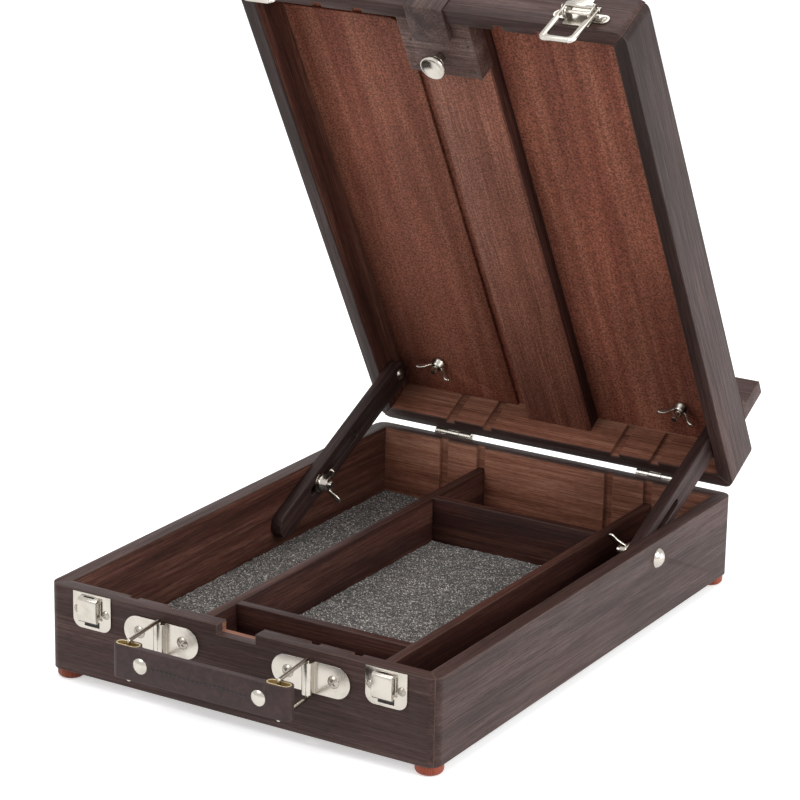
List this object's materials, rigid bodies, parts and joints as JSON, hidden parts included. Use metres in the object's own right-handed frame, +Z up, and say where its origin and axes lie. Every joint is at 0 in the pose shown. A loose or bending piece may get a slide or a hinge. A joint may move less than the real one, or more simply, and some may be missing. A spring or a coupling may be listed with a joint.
{
  "type": "pochade box",
  "caption": "Wooden painter's box with a lid on friction stays, compartments below, a sliding canvas mast, a canvas ledge, draw latches and a carry handle",
  "frame": {"origin": "On the floor plane, at the bottom centre of the bounding box of the open box", "axes": "+X across the box to the right, +Y to the hinge side, +Z up"},
  "size_m": [0.278, 0.4574, 0.4097],
  "materials": {
    "wood_outside": "dark stained, satin",
    "wood_inside": "stained, open grain",
    "plywood": "stained plywood",
    "wood_feet": "turned, satin",
    "wood_black": "dark stained",
    "nickel": "nickel plated",
    "nail_steel": "dark",
    "foam": "granular felt",
    "leather": "stitched",
    "brass_lining": "dull"
  },
  "bodies": {
    "base": {"base_front_wall": "wood_outside", "base_back_wall": "wood_outside", "base_left_wall": "wood_outside", "base_right_wall": "wood_outside", "base_panel": "wood_inside", "base_feet": "wood_feet", "divider_left": "wood_inside", "divider_right": "wood_inside", "divider_rear": "wood_inside", "divider_front": "wood_inside", "foam_left": "foam", "foam_middle": "foam", "keepers": "nickel", "keeper_screws": "nickel", "handle_brackets": "nickel", "bracket_screws": "nickel", "hinge_base_leaves": "nickel", "hinge_pins": "nickel", "hinge_base_screws": "nickel"},
    "lid": {"lid_top_wall": "wood_outside", "lid_bottom_wall": "wood_outside", "lid_left_wall": "wood_outside", "lid_right_wall": "wood_outside", "lid_panel": "plywood", "lid_lining": "plywood", "mast_rails": "wood_inside", "mast_cover": "plywood", "clamp_block": "wood_inside", "clamp_nails": "nail_steel", "hinge_lid_leaves": "nickel", "hinge_lid_screws": "nickel", "latch_base_left": "nickel", "latch_base_right": "nickel", "latch_screws": "nickel", "canvas_ledge": "wood_outside", "ledge_bolts": "nickel"},
    "mast": {"mast": "wood_inside", "mast_head": "wood_outside"},
    "thumb_screw": {"thumb_screw": "nickel"},
    "handle": {"handle_grip": "leather", "handle_liners": "brass_lining", "handle_rivets": "nickel"},
    "latch_lever_left": {"latch_lever_left": "nickel"},
    "latch_bail_left": {"latch_rivets_left": "nickel", "latch_bail_left": "nickel"},
    "handle_bail_left": {"handle_bail_left": "nickel"},
    "stay_bolt_left": {"stay_bolt_left": "nickel"},
    "stay_left": {"stay_left": "wood_black", "stay_screw_left": "nickel"},
    "wing_nut_stay_left": {"wing_nut_stay_left": "nickel"},
    "wing_nut_ledge_left": {"wing_nut_ledge_left": "nickel"},
    "latch_lever_right": {"latch_lever_right": "nickel"},
    "latch_bail_right": {"latch_rivets_right": "nickel", "latch_bail_right": "nickel"},
    "handle_bail_right": {"handle_bail_right": "nickel"},
    "stay_bolt_right": {"stay_bolt_right": "nickel"},
    "stay_right": {"stay_right": "wood_black", "stay_screw_right": "nickel"},
    "wing_nut_stay_right": {"wing_nut_stay_right": "nickel"},
    "wing_nut_ledge_right": {"wing_nut_ledge_right": "nickel"}
  },
  "joints": [
    {"name": "lid_hinge", "type": "hinge", "parent": "base", "child": "lid", "pos_m": [0, 0.19479, 0.0608], "axis": [-1, 0, 0], "range_deg": [-61, 9]},
    {"name": "stay_turn_left", "type": "hinge", "parent": "base", "child": "stay_bolt_left", "pos_m": [-0.121, 0.08579, 0.049], "axis": [1, 0, 0], "range_deg": [-8.34, 1.24]},
    {"name": "stay_slide_left", "type": "slide", "parent": "stay_bolt_left", "child": "stay_left", "axis": [0, 0.8974, 0.4413], "range_m": [-0.03695, 0.00546]},
    {"name": "wing_nut_stay_turn_left", "type": "hinge", "parent": "stay_bolt_left", "child": "wing_nut_stay_left", "pos_m": [-0.1131, 0.08579, 0.049], "axis": [1, 0, 0], "continuous": true},
    {"name": "latch_lever_turn_left", "type": "hinge", "parent": "lid", "child": "latch_lever_left", "pos_m": [-0.1025, 0.01536, 0.40039], "axis": [1, 0, 0], "range_deg": [0, 110]},
    {"name": "latch_bail_swing_left", "type": "hinge", "parent": "latch_lever_left", "child": "latch_bail_left", "pos_m": [-0.1025, 0.01831, 0.40248], "axis": [1, 0, 0], "range_deg": [-160, 0.02]},
    {"name": "wing_nut_ledge_turn_left", "type": "hinge", "parent": "lid", "child": "wing_nut_ledge_left", "pos_m": [-0.092, 0.19486, 0.10771], "axis": [0, -0.8746, -0.4848], "continuous": true},
    {"name": "handle_bail_turn_left", "type": "hinge", "parent": "base", "child": "handle_bail_left", "pos_m": [-0.0517, -0.18781, 0.0442], "axis": [0, 0, 1], "range_deg": [-66, 54]},
    {"name": "stay_turn_right", "type": "hinge", "parent": "base", "child": "stay_bolt_right", "pos_m": [0.121, 0.08579, 0.049], "axis": [1, 0, 0], "range_deg": [-8.34, 1.24]},
    {"name": "stay_slide_right", "type": "slide", "parent": "stay_bolt_right", "child": "stay_right", "axis": [0, 0.8974, 0.4413], "range_m": [-0.03695, 0.00546]},
    {"name": "wing_nut_stay_turn_right", "type": "hinge", "parent": "stay_bolt_right", "child": "wing_nut_stay_right", "pos_m": [0.1131, 0.08579, 0.049], "axis": [-1, 0, 0], "continuous": true},
    {"name": "latch_lever_turn_right", "type": "hinge", "parent": "lid", "child": "latch_lever_right", "pos_m": [0.1025, 0.01536, 0.40039], "axis": [1, 0, 0], "range_deg": [0, 110]},
    {"name": "latch_bail_swing_right", "type": "hinge", "parent": "latch_lever_right", "child": "latch_bail_right", "pos_m": [0.1025, 0.01831, 0.40248], "axis": [1, 0, 0], "range_deg": [-160, 0.02]},
    {"name": "wing_nut_ledge_turn_right", "type": "hinge", "parent": "lid", "child": "wing_nut_ledge_right", "pos_m": [0.092, 0.19704, 0.10892], "axis": [0, -0.8746, -0.4848], "continuous": true},
    {"name": "handle_bail_turn_right", "type": "hinge", "parent": "base", "child": "handle_bail_right", "pos_m": [0.0517, -0.18781, 0.0442], "axis": [0, 0, 1], "range_deg": [-66, 54]},
    {"name": "handle_turn", "type": "hinge", "parent": "handle_bail_left", "child": "handle", "pos_m": [-0.04804, -0.22262, 0.0442], "axis": [0, 0, 1], "range_deg": [-54.01, 66.01]},
    {"name": "mast_slide", "type": "slide", "parent": "lid", "child": "mast", "axis": [0, -0.4848, 0.8746], "range_m": [0, 0.2]},
    {"name": "thumb_screw_turn", "type": "hinge", "parent": "lid", "child": "thumb_screw", "pos_m": [0, 0.03508, 0.35987], "axis": [0, -0.8746, -0.4848], "continuous": true}
  ],
  "couplings": [
    {"joint": "stay_turn_left", "follows": "lid_hinge", "ratio": 0.13652},
    {"joint": "stay_slide_left", "follows": "lid_hinge", "m_per_rad": 0.034701},
    {"joint": "latch_bail_swing_left", "follows": "latch_lever_turn_left", "ratio": -1},
    {"joint": "stay_turn_right", "follows": "lid_hinge", "ratio": 0.13652},
    {"joint": "stay_slide_right", "follows": "lid_hinge", "m_per_rad": 0.034701},
    {"joint": "latch_bail_swing_right", "follows": "latch_lever_turn_right", "ratio": -1},
    {"joint": "handle_bail_turn_right", "follows": "handle_bail_turn_left", "ratio": 1},
    {"joint": "handle_turn", "follows": "handle_bail_turn_left", "ratio": -1}
  ]
}
